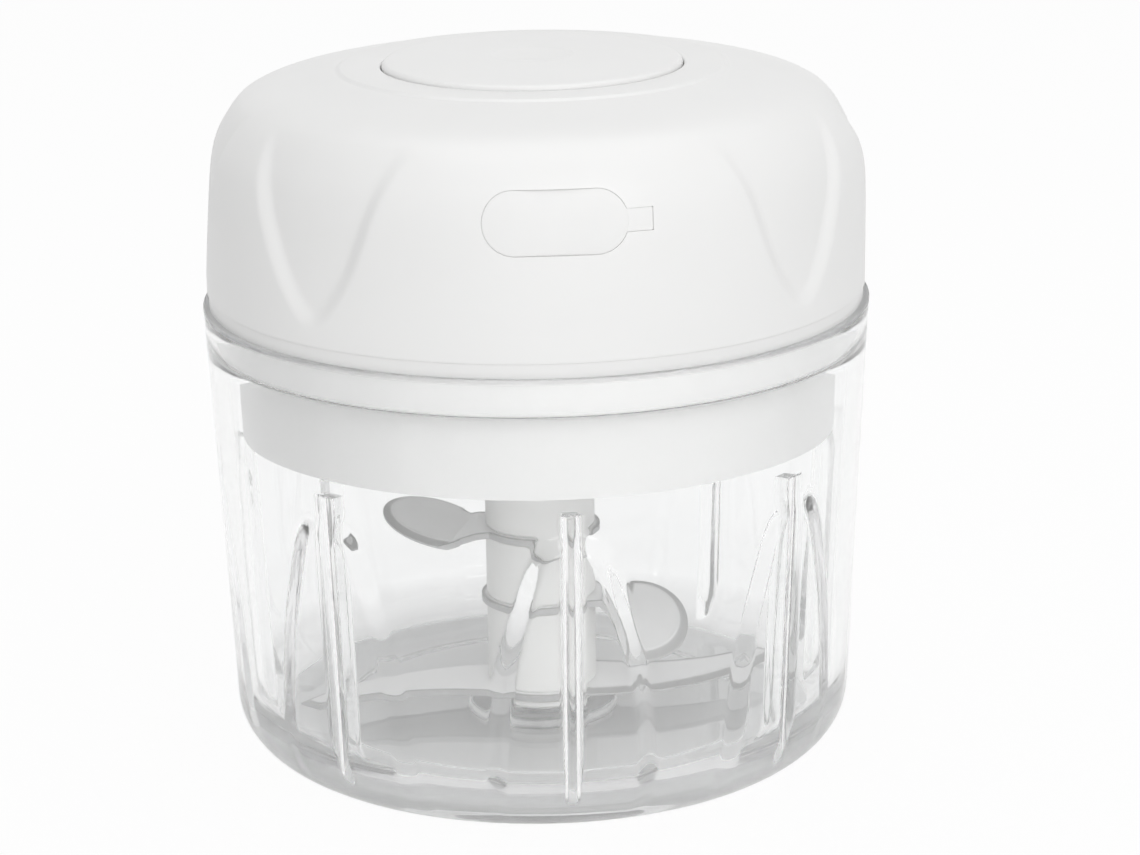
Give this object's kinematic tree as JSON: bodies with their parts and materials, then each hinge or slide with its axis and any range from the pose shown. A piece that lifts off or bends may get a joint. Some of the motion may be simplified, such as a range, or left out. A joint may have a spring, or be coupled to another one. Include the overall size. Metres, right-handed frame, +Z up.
{
  "type": "mini food processor",
  "caption": "Cordless mini food processor: clear ribbed bowl with stacked steel blades on a hub, under a white petalled motor head with a press button on top and a flapped charging port.",
  "frame": {"origin": "centre of the bowl's base, on the surface it stands on", "axes": "+Z up along the blade axis, -Y towards the charging port at the front, +X to the right seen from the front"},
  "size_m": [0.088, 0.088, 0.0928],
  "materials": {
    "clear_bowl": "clear, polished",
    "pin_steel": "ground",
    "hub_white": "satin, slightly translucent",
    "blade_steel": "brushed with ground edges",
    "coupling_plastic": "moulded",
    "housing_white": "satin moulded",
    "button_white": "satin moulded",
    "flap_silicone": "soft matt",
    "seal_silicone": "soft matt",
    "bracket_plastic": "moulded",
    "motor_steel": "plated",
    "cap_plastic": "moulded",
    "screw_steel": "zinc plated",
    "cell_wrap": "shrink wrap",
    "nickel": "plated",
    "terminal_brass": "tinned",
    "board_green": "solder mask",
    "socket_metal": "plated",
    "switch_black": "moulded",
    "spring_steel": "drawn wire"
  },
  "bodies": {
    "bowl": {"bowl": "clear_bowl", "pivot_pin": "pin_steel"},
    "head": {"upper_housing": "housing_white", "lower_housing": "housing_white", "bowl_seal": "seal_silicone", "shaft_seal": "seal_silicone", "motor_bracket": "bracket_plastic", "motor_can": "motor_steel", "motor_cap": "cap_plastic", "motor_screws": "screw_steel", "bracket_screws": "screw_steel", "housing_screws": "screw_steel", "board_screws": "screw_steel", "battery_cell": "cell_wrap", "cell_holder": "bracket_plastic", "cell_strips": "nickel", "motor_terminals": "terminal_brass", "control_board": "board_green", "usb_socket": "socket_metal", "switch_body": "switch_black", "flap_tether": "flap_silicone", "button_spring": "spring_steel"},
    "blade_unit": {"spindle": "hub_white", "hub_foot": "hub_white", "lower_blade": "blade_steel", "hub_lower": "hub_white", "middle_blade": "blade_steel", "hub_middle": "hub_white", "upper_blade": "blade_steel", "hub_upper": "hub_white"},
    "rotor": {"motor_shaft": "pin_steel", "drive_coupling": "coupling_plastic"},
    "button": {"button": "button_white"},
    "switch_plunger": {"switch_plunger": "switch_black"},
    "port_flap": {"port_flap": "flap_silicone"}
  },
  "joints": [
    {"name": "head_lift", "type": "slide", "parent": "bowl", "child": "head", "axis": [0, 0, 1], "range_m": [0, 0.055]},
    {"name": "blade_spin", "type": "hinge", "parent": "bowl", "child": "blade_unit", "pos_m": [0, 0, 0.0046], "axis": [0, 0, 1], "continuous": true},
    {"name": "motor_spin", "type": "hinge", "parent": "head", "child": "rotor", "pos_m": [0, 0, 0.0526], "axis": [0, 0, 1], "continuous": true},
    {"name": "button_press", "type": "slide", "parent": "head", "child": "button", "axis": [0, 0, -1], "range_m": [0, 0.0016], "stiffness_N_per_m": 600, "springref_m": -0.003, "deforming": ["button_spring"]},
    {"name": "plunger_press", "type": "slide", "parent": "head", "child": "switch_plunger", "axis": [0, 0, -1], "range_m": [0, 0.0016]},
    {"name": "flap_open", "type": "hinge", "parent": "head", "child": "port_flap", "pos_m": [0.00735, -0.04247, 0.07995], "axis": [0, 0, 1], "range_deg": [0, 110], "stiffness_Nm_per_rad": 0.0004}
  ],
  "couplings": [
    {"joint": "motor_spin", "follows": "blade_spin", "ratio": 1},
    {"joint": "plunger_press", "follows": "button_press", "ratio": 1}
  ]
}
